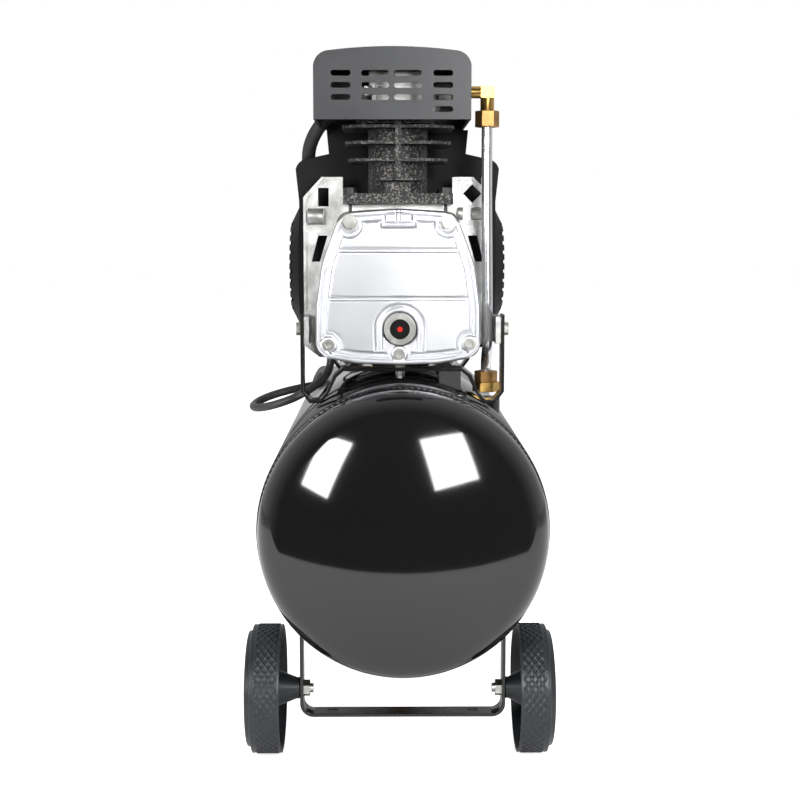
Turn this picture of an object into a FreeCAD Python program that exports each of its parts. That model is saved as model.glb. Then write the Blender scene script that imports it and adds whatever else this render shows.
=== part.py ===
"""A 24-litre direct-drive air compressor: a tank on two wheels with a one-cylinder pump above it.

X runs across the unit, Y from the pump end to the handle end, Z up; the origin is on the floor.
"""
import FreeCAD
import Part
import Sketcher
import math
import os
import re
from FreeCAD import Rotation, Vector

SIZES = {
    "tank_radius": 125, "tank_wall": 2, "tank_length": 430, "skirt_length": 10, "dome_depth": 48,
    "knuckle_radius": 30, "tank_lift": 82.6, "handle_reach": 130, "fit_gap": 0.05, "air_gap": 0.3,
    "strap_wall": 3, "strap_width": 20, "bracket_half": 91, "bracket_floor": 33.1, "axle_depth": 45,
    "wheel_radius": 57, "left_wheel_inner": 106.5, "right_wheel_inner": 101, "wheel_width": 26,
    "rim_wall": 4.5, "web_depth": 13, "hub_radius": 17, "axle_radius": 4, "boss_radius": 9.5,
    "hub_cap_depth": 4.5, "foot_depth": 375, "foot_half": 42, "foot_radius": 17, "foot_height": 24,
    "handle_half": 60, "handle_tube": 10, "handle_bore": 8.5, "handle_rise": 78, "handle_seat": 70,
    "bar_rise": 9, "arm_half": 90, "arm_rise": 56, "front_strap": 74, "rear_strap": 257,
    "rear_arm_half": 70, "pump_offset": -4, "cover_front": 38, "cover_depth": 9, "gasket_wall": 1,
    "case_wall": 5, "flange_face": 100, "flange_depth": 9, "case_rise": 13.5, "case_tall": 136.5,
    "flange_half": 84.5, "flange_rise": 177, "shaft_rise": 82, "shaft_radius": 8.5, "sight_rise": 31.5,
    "cylinder_depth": 75, "cylinder_tall": 72, "base_wall": 9, "bore_radius": 21, "barrel_wall": 5,
    "fin_wall": 2.4, "fin_one_half": 48, "fin_two_half": 45.3, "fin_three_half": 42.5, "stroke": 38,
    "rod_length": 109.2, "piston_height": 26, "crown_rise": 13, "top_gap": 0.8, "piston_gap": 0.06,
    "pin_radius": 5, "valve_wall": 4, "head_height": 24, "elbow_rise": 25, "shroud_offset": -9,
    "shroud_half": 65.5, "shroud_tall": 59.5, "shroud_front": 12, "shroud_depth": 128, "shroud_wall": 2.5,
    "slot_height": 4.7, "slot_pitch": 9.8, "tube_radius": 4.75, "tube_bore": 3.5, "tube_side": 74,
    "nut_radius": 10.7, "nut_height": 14, "port_rise": 9.5, "riser_rise": 11.6, "cowl_front": 130,
    "cowl_length": 205, "cowl_half": 93, "cowl_rise": 22, "cowl_side": 169, "neck_half": 64.5,
    "ear_half": 84.6, "cowl_wall": 2.5, "vent_rise": 95, "vent_radius": 61.5, "vent_depth": 222,
    "vent_reach": 15, "stator_half": 56, "stator_length": 80, "rotor_radius": 31, "rotor_gap": 0.5,
    "motor_face": 132, "motor_end": 252, "fan_face": 292, "fan_depth": 24, "fan_radius": 53,
    "hose_radius": 6.2, "cord_radius": 3.75, "coil_radius": 44, "coil_tube": 15, "switch_side": 20,
    "switch_depth": 388, "switch_wide": 58, "switch_long": 56, "switch_tall": 62, "switch_rise": 36,
    "knob_radius": 14, "gauge_radius": 18, "gauge_depth": 13, "coupler_bore": 5.5, "drain_depth": 215,
}

TERMS = {
    "weld": "dome_depth + skirt_length - (tank_length + handle_reach + dome_depth + skirt_length) / 2",
    "tank_inner": "tank_radius - tank_wall",
    "tank_height": "tank_lift + tank_radius",
    "saddle": "tank_height + tank_radius",
    "tank_rear": "weld + tank_length",
    "port_side": "tube_side + 3",
    "port_top": "tank_height + sqrt(tank_radius ^ 2 - port_side ^ 2) + port_rise",
    "riser_top": "tank_height + sqrt(tank_radius ^ 2 - switch_side ^ 2) + riser_rise",
    "cylinder_y": "weld + cylinder_depth",
    "axle_y": "weld + axle_depth",
    "case_face": "weld + cover_front + cover_depth + gasket_wall",
    "flange_y": "weld + flange_face",
    "bar_height": "saddle + bar_rise",
    "top_strap": "bar_height - strap_wall",
    "arm_top": "saddle + arm_rise",
    "case_floor": "saddle + case_rise",
    "case_top": "case_floor + case_tall",
    "flange_top": "saddle + flange_rise",
    "sight_height": "case_floor + sight_rise",
    "shaft_height": "saddle + shaft_rise",
    "crank_radius": "stroke / 2",
    "pin_low": "shaft_height - crank_radius",
    "wrist_low": "shaft_height - crank_radius + rod_length",
    "deck_height": "shaft_height + crank_radius + rod_length + crown_rise + top_gap",
    "base_height": "deck_height - cylinder_tall",
    "barrel_radius": "bore_radius + barrel_wall",
    "elbow_height": "deck_height + elbow_rise",
    "elbow_foot": "elbow_height - 16",
    "shroud_floor": "deck_height - 3",
    "shroud_top": "shroud_floor + shroud_tall",
    "cowl_top": "shroud_floor - 0.5",
    "cowl_floor": "saddle + cowl_rise",
    "cowl_shoulder": "cowl_floor + cowl_side",
    "vent_height": "saddle + vent_rise",
    "switch_floor": "saddle + switch_rise",
}

doc = FreeCAD.newDocument("air_compressor")
sheet = doc.addObject("Spreadsheet::Sheet", "Sizes")
for row, (alias, number) in enumerate(SIZES.items(), start=1):
    sheet.set(f"A{row}", alias)
    sheet.set(f"B{row}", str(number))
    sheet.setAlias(f"B{row}", alias)
doc.recompute()

AXES = {
    "Z": Rotation(),
    "X": Rotation(Vector(0, 1, 0), 90),
    "-X": Rotation(Vector(0, 1, 0), -90),
    "Y": Rotation(Vector(1, 0, 0), -90),
    "-Y": Rotation(Vector(1, 0, 0), 90),
    "-Z": Rotation(Vector(1, 0, 0), 180),
}
NODES = []


def expand(text):
    """Replaces every derived term by the sheet's own names."""
    found = True
    while found:
        found = False
        for term in re.findall(r"[a-z][a-z_]+", text):
            if term in TERMS:
                text = re.sub(rf"\b{term}\b", f"({TERMS[term]})", text)
                found = True
    return text


def bound(value):
    """The expression that ties a property to the sheet."""
    return re.sub(r"\b[a-z][a-z_]+\b", lambda m: f"Sizes.{m[0]}" if m[0] in SIZES else m[0],
                  expand(str(value)))


def size(value):
    """The number that an expression has now."""
    return float(sheet.evalExpression(expand(str(value)))) if isinstance(value, str) else value


def locate(thing, at, axis="Z"):
    thing.Placement.Rotation = AXES[axis] if isinstance(axis, str) else axis
    for letter, value in zip("xyz", at):
        thing.setExpression(f"Placement.Base.{letter}", bound(value))
    return thing


def box(sides, at):
    """A block from its low corner."""
    thing = doc.addObject("Part::Box", "Block")
    for name, value in zip(("Length", "Width", "Height"), sides):
        thing.setExpression(name, bound(value))
    return locate(thing, at)


def mid_box(sides, at):
    """A block centred across X and Y and standing on its height."""
    return box(sides, (f"{at[0]} - ({sides[0]}) / 2", f"{at[1]} - ({sides[1]}) / 2", at[2]))


def rod(radius, length, at, axis="Z"):
    thing = doc.addObject("Part::Cylinder", "Round")
    thing.setExpression("Radius", bound(radius))
    thing.setExpression("Height", bound(length))
    return locate(thing, at, axis)


def cone(low, high, length, at, axis="Z"):
    thing = doc.addObject("Part::Cone", "Taper")
    thing.setExpression("Radius1", bound(low))
    thing.setExpression("Radius2", bound(high))
    thing.setExpression("Height", bound(length))
    return locate(thing, at, axis)


def prism(sides, radius, length, at, axis="Z"):
    """A regular bar, such as a hexagon of the given corner radius."""
    thing = doc.addObject("Part::Prism", "Flats")
    thing.Polygon = sides
    thing.setExpression("Circumradius", bound(radius))
    thing.setExpression("Height", bound(length))
    return locate(thing, at, axis)


def cut(base, *tools):
    for tool in tools:
        thing = doc.addObject("Part::Cut", "Cut")
        thing.Base = base
        thing.Tool = tool
        base = thing
    return base


def fuse(*pieces):
    thing = doc.addObject("Part::MultiFuse", "Fused")
    thing.Shapes = list(pieces)
    return thing


def common(*pieces):
    thing = doc.addObject("Part::MultiCommon", "Shared")
    thing.Shapes = list(pieces)
    return thing


def group(*pieces):
    thing = doc.addObject("Part::Compound", "Group")
    thing.Links = list(pieces)
    return thing


def ring(outer, inner, length, at, axis="Z"):
    return cut(rod(outer, length, at, axis), rod(inner, length, at, axis))


def outline(points, length=None, at=("0", "0", "0"), plane="XZ_Plane", rounds=None, axis=None):
    """A closed sketch through points, padded by length or turned about the plane's second axis.

    rounds gives an arc's radius for the edge that leaves a point.
    """
    rounds = rounds or {}
    body = doc.addObject("PartDesign::Body", "Body")
    sketch = body.newObject("Sketcher::SketchObject", "Outline")
    base = next(item for item in body.Origin.OriginFeatures if item.Role == plane)
    sketch.AttachmentSupport = (base, [""])
    sketch.MapMode = "FlatFace"
    spots = [Vector(size(across), size(up), 0) for across, up in points]
    count = len(spots)
    for index, spot in enumerate(spots):
        after = spots[(index + 1) % count]
        if index in rounds:
            sketch.addGeometry(arc_between(spot, after, size(rounds[index])), False)
        else:
            sketch.addGeometry(Part.LineSegment(spot, after), False)
    starts = [end_number(sketch, index, spots[index]) for index in range(count)]
    for index in range(count):
        after = (index + 1) % count
        tail = 3 - starts[index]
        sketch.addConstraint(Sketcher.Constraint("Coincident", index, tail, after, starts[after]))
    for index, (across, up) in enumerate(points):
        for kind, text in (("DistanceX", across), ("DistanceY", up)):
            limit = Sketcher.Constraint(kind, -1, 1, index, starts[index], size(text))
            sketch.setExpression(f"Constraints[{sketch.addConstraint(limit)}]", bound(text))
    for index, radius in rounds.items():
        limit = Sketcher.Constraint("Radius", index, abs(size(radius)))
        sketch.setExpression(f"Constraints[{sketch.addConstraint(limit)}]", bound(f"abs({radius})"))
    if length is None:
        turn = body.newObject("PartDesign::Revolution", "Turned")
        turn.Profile = sketch
        turn.ReferenceAxis = (sketch, ["V_Axis"])
        turn.Angle = 360
    else:
        pad = body.newObject("PartDesign::Pad", "Pad")
        pad.Profile = sketch
        pad.setExpression("Length", bound(length))
        pad.Reversed = plane == "XZ_Plane"
    return locate(body, at, axis or "Z")


def arc_between(start, end, radius):
    """An arc that bulges to the left of the way from start to end, or right if radius is negative."""
    half = (end - start) * 0.5
    side = Vector(-half.y, half.x, 0).normalize() * (1 if radius > 0 else -1)
    sag = abs(radius) - math.sqrt(max(radius ** 2 - half.Length ** 2, 0))
    return Part.Arc(start, start + half + side * sag, end)


def end_number(sketch, index, spot):
    """Which end of an edge lies on a point: 1 for its start and 2 for its end."""
    return 1 if (sketch.getPoint(index, 1) - spot).Length < 1e-4 else 2


def turned(points, at, axis, rounds=None):
    """A round piece from (radius, distance along its axis) points."""
    return outline(points, None, at, "XY_Plane", rounds, AXES[axis] * Rotation(Vector(1, 0, 0), 90))


def bent_path(points, bend=None):
    """Straight runs joined by tangent arcs, with the arcs' radii and the path's length."""
    spots = [Vector(*point) for point in points]
    edges, radii, start = [], [], spots[0]
    for before, corner, after in zip(spots, spots[1:], spots[2:]):
        inward, outward = (before - corner), (after - corner)
        half_turn = (math.pi - inward.getAngle(outward)) / 2
        reach = 0.45 * min(inward.Length, outward.Length)
        if bend:
            reach = min(reach, bend * math.tan(half_turn))
        first = corner + inward * (reach / inward.Length)
        last = corner + outward * (reach / outward.Length)
        radius = reach / math.tan(half_turn)
        middle = corner + (first + last - corner * 2).normalize() * (radius / math.cos(half_turn) - radius)
        edges.append(Part.LineSegment(start, first).toShape())
        edges.append(Part.Arc(first, middle, last).toShape())
        radii.append(radius)
        start = last
    edges.append(Part.LineSegment(start, spots[-1]).toShape())
    return Part.Wire(edges), radii


def pipe(points, radius, bore=None, bend=None):
    """A tube along a path of points."""
    path, radii = bent_path(points, bend)
    way = Vector(*points[1]) - Vector(*points[0])

    def sweep(size_of):
        section = Part.Wire(Part.makeCircle(size_of, Vector(*points[0]), way))
        return path.makePipeShell([section], True, False)

    shape = sweep(radius).cut(sweep(bore)) if bore else sweep(radius)
    thing = doc.addObject("Part::Feature", "Pipe")
    thing.Shape = shape
    thing.Placement = FreeCAD.Placement()
    return thing, path, radii


def numbers(points):
    return [tuple(size(value) for value in point) for point in points]


def node(label, thing):
    thing.Label = label
    NODES.append(thing)


def hex_bolt(head, head_height, shank, length, at, axis):
    """A hexagon head on a shank that runs along the axis; the head is on the near side of the point."""
    back = {"Z": "-Z", "Y": "-Y", "X": "-X", "-Z": "Z", "-Y": "Y", "-X": "X"}[axis]
    return fuse(prism(6, head, head_height, at, back), rod(shank, length, at, axis))


def tank():
    shell = ring("tank_radius", "tank_inner", "tank_length", ("0", "weld", "tank_height"), "Y")
    ports = [
        rod("5", "40", ("port_side", "weld + 112", "port_top - 35")),
        rod("6", "40", ("switch_side", "weld + switch_depth", "riser_top - 35")),
        rod("4", "40", ("0", "weld + drain_depth", "tank_height - tank_radius - 15")),
    ]
    node("tank_shell", cut(shell, *ports))
    outer = "tank_inner - fit_gap"
    for label, at, axis in (
        ("tank_head_front", ("0", "weld", "tank_height"), "-Y"),
        ("tank_head_rear", ("0", "tank_rear", "tank_height"), "Y"),
    ):
        node(label, tank_head(outer, at, axis))
    sockets = [
        rod("13", "30", ("port_side", "weld + 112", "port_top - 35")),
        rod("14", "20", ("switch_side", "weld + switch_depth", "riser_top - 20")),
        rod("11", "14", ("0", "weld + drain_depth", "tank_height - tank_radius - 10")),
    ]
    bores = [
        rod("5", "60", ("port_side", "weld + 112", "port_top - 35")),
        rod("6", "60", ("switch_side", "weld + switch_depth", "riser_top - 35")),
        rod("4", "60", ("0", "weld + drain_depth", "tank_height - tank_radius - 25")),
    ]
    tool = rod("tank_radius + fit_gap", "tank_length", ("0", "weld", "tank_height"), "Y")
    node("tank_ports", group(*[cut(socket, tool, bore) for socket, bore in zip(sockets, bores)]))


INSET = "(tank_inner - fit_gap - knuckle_radius)"
CROWN = f"(({INSET} ^ 2 + dome_depth ^ 2 - knuckle_radius ^ 2) / (2 * (dome_depth - knuckle_radius)))"


def tank_head(outer, at, axis):
    """A dished end: a skirt, a knuckle and a shallow crown, of one wall."""
    inset, crown = INSET, CROWN
    turn = f"({crown} - knuckle_radius)"

    def meet(inward):
        """The point where the crown's arc runs into the knuckle's."""
        across = f"{inset} * ({crown} - {inward}) / {turn}"
        up = f"skirt_length + ({crown} - dome_depth) * (({crown} - {inward}) / {turn} - 1)"
        return across, up

    tip = "skirt_length + dome_depth"
    points = [
        (outer, "-skirt_length"), (outer, "skirt_length"), meet("0"), ("0", tip),
        ("0", f"{tip} - tank_wall"), meet("tank_wall"),
        (f"{outer} - tank_wall", "skirt_length"), (f"{outer} - tank_wall", "-skirt_length"),
    ]
    rounds = {1: "-knuckle_radius", 2: f"-({crown})", 4: f"{crown} - tank_wall",
              5: "knuckle_radius - tank_wall"}
    return turned(points, at, axis, rounds)


def strap_loop(points, width, at_y, rounds=None):
    """A flat bar bent along a line of points across the unit, from its outer line and its inner line."""
    return outline(points, width, ("0", at_y, "0"), rounds=rounds)


def wheel_bracket():
    half, wall, low = "bracket_half", "strap_wall", "bracket_floor"
    top = "tank_height - 70"
    points = [
        (f"-{half}", top), (f"-{half}", f"{low} + 12"), (f"-{half} + 12", low), (f"{half} - 12", low),
        (half, f"{low} + 12"), (half, top), (f"{half} - {wall}", top), (f"{half} - {wall}", f"{low} + 12"),
        (f"{half} - 12", f"{low} + {wall}"), (f"-{half} + 12", f"{low} + {wall}"),
        (f"-{half} + {wall}", f"{low} + 12"), (f"-{half} + {wall}", top),
    ]
    rounds = {1: "-12", 3: "-12", 7: f"12 - {wall}", 9: f"12 - {wall}"}
    y = "axle_y - strap_width / 2"
    legs = strap_loop(points, "strap_width", y, rounds)
    pads = ring("tank_radius + strap_wall", "tank_radius + fit_gap", "strap_width + 10",
                ("0", f"{y} - 5", "tank_height"), "Y")
    low_pad = "tank_height - tank_radius + 13"
    keep = fuse(box(("54", "80", "46"), ("-118", f"{y} - 20", low_pad)),
                box(("54", "80", "46"), ("64", f"{y} - 20", low_pad)))
    whole = fuse(legs, common(pads, keep))
    holes = rod("axle_radius + fit_gap", "4 * bracket_half", ("-2 * bracket_half", "axle_y", "wheel_radius"),
                "X")
    slots = [mid_box(("9", "6", "20"), (f"{side}62", "axle_y", "bracket_floor - 5")) for side in ("-", "")]
    clear = rod("tank_radius + fit_gap", "tank_length", ("0", "weld", "tank_height"), "Y")
    node("wheel_bracket", cut(whole, holes, clear, *slots))


def wheels():
    """Each wheel is one moulding: a thin rim, a web deep inside it and a hub seated on the bracket."""
    bolts, nuts = [], []
    for label, axis, back, sign, inner in (("wheel_left", "-X", "X", "-", "left_wheel_inner"),
                                           ("wheel_right", "X", "-X", "", "right_wheel_inner")):
        width, radius, bore = "wheel_width", "wheel_radius", "axle_radius + fit_gap"
        reach = f"({inner} - bracket_half - air_gap)"
        points = [
            (bore, f"-{reach}"), ("boss_radius", f"-{reach}"), ("boss_radius", f"3 - {reach}"),
            ("hub_radius", "web_depth - 6"), ("hub_radius + 3", "web_depth"), (f"{radius} - rim_wall - 3",
                                                                               "web_depth"),
            (f"{radius} - rim_wall", "web_depth - 3"), (f"{radius} - rim_wall + 1.5", "0"), (f"{radius} - 1",
                                                                                             "0"),
            (radius, "1"), (radius, f"{width} - 1.5"), (f"{radius} - 1.5", width), (f"{radius} - 5.5", width),
            (f"{radius} - 6.5", f"{width} + hub_cap_depth"), (f"{radius} - 15", f"{width} + hub_cap_depth"),
            (f"{radius} - 18", "web_depth + 5"), ("hub_radius", "web_depth + 4"), ("12", width), (bore,
                                                                                                  width),
        ]
        node(label, turned(points, (f"{sign}{inner}", "axle_y", radius), axis))
        head = (f"{sign}({inner} + wheel_width + air_gap)", "axle_y", radius)
        shank = rod("axle_radius", f"{inner} + wheel_width + air_gap - bracket_half + 11.5", head, back)
        bolts.append(fuse(prism(6, "7.3", "5", head, axis), shank))
        seat = (f"{sign}(bracket_half - strap_wall)", "axle_y", radius)
        nuts.append(cut(prism(6, "7.5", "5.5", seat, back), rod("axle_radius", "6", seat, back)))
    node("axle_bolts", group(*bolts, *nuts))


def foot():
    y = "weld + foot_depth"
    top = "tank_height - tank_radius + 12"
    legs = cut(mid_box(("2 * foot_half", "46", f"{top} - foot_height"), ("0", y, "foot_height")),
               mid_box(("2 * (foot_half - strap_wall)", "60", f"{top}"),
                       ("0", y, "foot_height + strap_wall")))
    clear = rod("tank_radius + fit_gap", "tank_length", ("0", "weld", "tank_height"), "Y")
    holes = [rod("4.2", "20", (f"{side}(foot_half - 20)", y, "foot_height - 5")) for side in ("-", "")]
    node("foot_bracket", cut(legs, clear, *holes))
    feet, bolts = [], []
    for side in ("-", ""):
        x = f"{side}(foot_half - 20)"
        puck = cut(cone("foot_radius - 1", "foot_radius - 3", "foot_height", (x, y, "0")),
                   rod("9", "10", (x, y, "0")), rod("4.2", "40", (x, y, "0")))
        feet.append(puck)
        bolts.append(hex_bolt("7.3", "5", "4", "foot_height + strap_wall - 4",
                              (x, y, "foot_height + strap_wall"), "-Z"))
    return feet, bolts


def handle():
    """A bent tube on the far end's head, with a sleeve on its cross bar."""
    base, side = "tank_height + handle_seat", "handle_half"
    seat = (f"(tank_rear + skirt_length + dome_depth - {CROWN}"
            f" + sqrt({CROWN} ^ 2 - handle_half ^ 2 - handle_seat ^ 2))")
    end, high = "tank_rear + handle_reach - handle_tube - 3", "tank_height + 95 + handle_rise"
    points = numbers([
        (f"-{side}", f"{seat} - 8.4", base), (f"-{side}", f"{seat} + 21.6", base), (f"-{side}", end, high),
        (side, end, high), (side, f"{seat} + 21.6", base), (side, f"{seat} - 8.4", base),
    ])
    frame = pipe(points, size("handle_tube"), size("handle_bore"), 24)[0]
    plates = [cut(rod("17", "14", (f"{sign}{side}", f"{seat} - 8.4", base), "Y"),
                  rod("handle_tube + fit_gap", "30", (f"{sign}{side}", f"{seat} - 12", base), "Y"), dome())
              for sign in ("-", "")]
    node("handle_frame", group(cut(frame, dome()), *plates))
    node("handle_grip", ring("handle_tube + 3", "handle_tube + fit_gap", "68", ("-34", end, high), "X"))


def dome():
    """The ball that the far head's crown is part of."""
    ball = doc.addObject("Part::Sphere", "Dome")
    ball.setExpression("Radius", bound(f"{CROWN} + fit_gap"))
    return locate(ball, ("0", f"tank_rear + skirt_length + dome_depth - {CROWN}", "tank_height"))


def m_strap(arm, y):
    """A flat bar bent to an M: a raised middle, two loops that rest on the tank and two upright arms."""
    loop, half, wall = f"({arm} - 14.5)", f"({arm} - 33)", "strap_wall"
    low = f"(tank_height + sqrt(tank_radius ^ 2 - {loop} ^ 2))"
    below = [(arm, "arm_top"), (arm, f"{low} + 13"), (f"{loop} + 7", f"{low} + 3"),
             (f"{loop} - 4", f"{low} + 3"),
             (f"{loop} - 11", f"{low} + 13"), (f"{half} + 1", "top_strap - 5"), (f"{half} - 5", "top_strap")]
    above = [(f"{half} - 4", "bar_height"), (f"{half} + 4", "bar_height - 6"), (f"{loop} - 8", f"{low} + 13"),
             (f"{loop} - 2", f"{low} + 6"), (f"{loop} + 5", f"{low} + 6"), (f"{arm} - {wall}", f"{low} + 14"),
             (f"{arm} - {wall}", "arm_top")]
    mirror = [(f"-({a})", b) for a, b in below[::-1]], [(f"-({a})", b) for a, b in above[::-1]]
    rounds = {1: "11", 2: "9", 3: "14", 5: "7", 7: "7", 9: "14", 10: "9", 11: "11",
              15: "-8", 17: "-5", 18: "-6", 19: "-5", 22: "-5", 23: "-6", 24: "-5", 26: "-8"}
    line = below + mirror[0] + mirror[1] + above
    return outline(line, "strap_width", ("0", f"{y} - strap_width / 2", "0"))


def mount_straps():
    """The two flat bars that carry the pump and motor above the tank, with their studs, pads and bolts."""
    studs, pads, bolts = [], [], []
    clear = ("tank_radius + fit_gap", "tank_length", ("0", "weld", "tank_height"), "Y")
    for label, depth, arm, buffers in (("front_mount_strap", "front_strap", "arm_half", ("42",)),
                                       ("rear_mount_strap", "rear_strap", "rear_arm_half", ("-20", "20"))):
        y = f"weld + {depth}"
        holes = rod("3.1", "4 * arm_half", ("-2 * arm_half", y, "arm_top - 13"), "X")
        post = rod("4.1", "30", ("-2", y, "top_strap - 5"))
        node(label, cut(m_strap(arm, y), rod(*clear), holes, post))
        studs.append(cut(rod("4", "bar_rise + 27", ("-2", y, "saddle - 25")), rod(*clear)))
        pads += [cut(mid_box(("19", "strap_width", "30"), (at, y, "top_strap - 30")), rod(*clear))
                 for at in buffers]
        bolts += [hex_bolt("5.8", "4", "3", "8", (f"{sign}{arm}", y, "arm_top - 13"), axis)
                  for sign, axis in (("-", "X"), ("", "-X"))]
    feet, foot_bolts = foot()
    node("frame_bolts", group(*bolts, *foot_bolts, *studs))
    node("rubber_mounts", group(*feet, *pads))


def case_points(grow="0"):
    """The crankcase outline: a bell with a slightly crowned top and a rounded floor."""
    corners = [
        ("44", f"case_top - 4.5 + {grow}"), ("53", "case_top - 14"), ("66", "case_top - 50"),
        ("71", "case_top - 86"), ("71", "case_floor + 15"), ("62", f"case_floor + 6 - {grow}"),
        (f"36 - {grow}", f"case_floor + 1 - {grow}"),
    ]
    right = [(f"pump_offset + {across} + {grow}", up) for across, up in corners]
    left = [(f"pump_offset - ({across}) - {grow}", up) for across, up in corners]
    return right + left[::-1]


def case_rounds():
    """Curved edges of the outline: the floor, the crown and the lower corners."""
    return {0: "11", 4: "13", 6: "700", 8: "13", 12: "11", 13: "420"}


def crankcase():
    x = "pump_offset"
    deep = "flange_face - cover_front - cover_depth - gasket_wall"
    shell = outline(case_points(), deep, ("0", "case_face", "0"), rounds=case_rounds())
    inside = outline(case_points("(-1 * case_wall)"), f"{deep} - 1", ("0", "case_face", "0"))
    half, top = "flange_half", "flange_top"
    plate = [
        (f"{x} + 49", top), (f"{x} + 68", top), (f"{x} + {half}", f"{top} - 18"), (f"{x} + {half}",
                                                                                   "arm_top - 22"),
        (f"{x} + {half} - 24", "case_floor + 2"), (f"{x} - {half} + 14", "case_floor + 2"),
        (f"{x} - {half}", "arm_top - 30"), (f"{x} - {half}", f"{top} - 18"), (f"{x} - 68",
                                                                              top), (f"{x} - 49", top),
        (f"{x} - 49", "base_height - 20"), (f"{x} + 49", "base_height - 20"),
    ]
    flange = outline(plate, "flange_depth", ("0", "flange_y", "0"))
    deck = mid_box(("96", "64", "14"), (x, "cylinder_y + 5.3", "base_height - 14"))
    neck = mid_box(("84", "52", "22"), (x, "cylinder_y", "base_height - 30"))
    wells, windows, ribs, bosses = [], [], [], []
    for sign in ("-", "+"):
        def side(points):
            return [(f"{x} {sign} {across}", f"saddle + {up}") for across, up in points]
        wells.append(outline(side([(51.5, 174.5), (67, 174.5), (82, 157), (82, 134), (56, 134)]), "2.5",
                             ("0", "flange_y - 1", "0")))
        wells.append(outline(side([(61, 127), (82, 127), (82, 60), (73, 60), (71, 96)]), "2.5",
                             ("0", "flange_y - 1", "0")))
        windows.append(outline(side([(63, 125), (71.5, 125), (77.5, 101.5), (70, 101.5)]), "20",
                               ("0", "flange_y - 5", "0")))
        ribs += [mid_box(("14", "3", "2.5"), (f"{x} {sign} 76.5", "flange_y + 1.5", f"saddle + {level}"))
                 for level in (61, 91)]
    windows.append(mid_box(("9.5", "30", "16.5"), (f"{x} - 66.5", "flange_y", "saddle + 151")))
    windows.append(prism(4, "8.4", "30", (f"{x} + 67", "flange_y - 5", "saddle + 162.3"), "Y"))
    for start, reach, radius, up in (("- 80.3", "13.7", "7.2", 142), ("+ 53.5", "5", "5.6", 144.6),
                                     ("+ 66.5", "12", "5.6", 144.6)):
        bosses.append(rod(radius, reach, (f"{x} {start}", "flange_y + 1.5", f"saddle + {up}"), "X"))
    bosses += [rod("7", "flange_depth", (f"{x} {sign} 40", "flange_y", "shaft_height + 40"), "Y")
               for sign in ("-", "+")]
    ears = [mid_box(("4.4", "43", "24"), (f"0 {sign} ear_half", "flange_y - 12.5", "arm_top - 26"))
            for sign in ("-", "+")]
    ears.append(mid_box(("9", "flange_depth", "12"),
                        ("ear_half - 2.3", "flange_y + flange_depth / 2", "arm_top - 14")))
    boss = rod("24", "10", (x, "flange_y - 10", "shaft_height"), "Y")
    whole = fuse(cut(fuse(shell, flange), inside, *wells, *windows), deck, neck, *ribs, *bosses, *ears, boss)
    bores = [
        rod("16 + fit_gap", "60", (x, "flange_y - 12", "shaft_height"), "Y"),
        rod("bore_radius + 3", "60", (x, "cylinder_y", "base_height - 45")),
        mid_box(("36", "50", "40"), (x, "cylinder_y", "base_height - 48")),
    ]
    bores += [rod("3.05", "30", (f"{x} {a} 41", f"cylinder_y {b} 24", "base_height - 25")) for a in "-+"
              for b in "-+"]
    bores += [rod("3.1", "40", (f"{x} {a} 49", "flange_y - 20", f"shaft_height {b} 49"), "Y") for a in "-+"
              for b in "-+"]
    strap = [rod("3.05", "14", (f"{sign}(arm_half)", "weld + front_strap", "arm_top - 13"), axis)
             for sign, axis in (("-", "X"), ("", "-X"))]
    node("crankcase", cut(whole, *bores, *strap))


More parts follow.
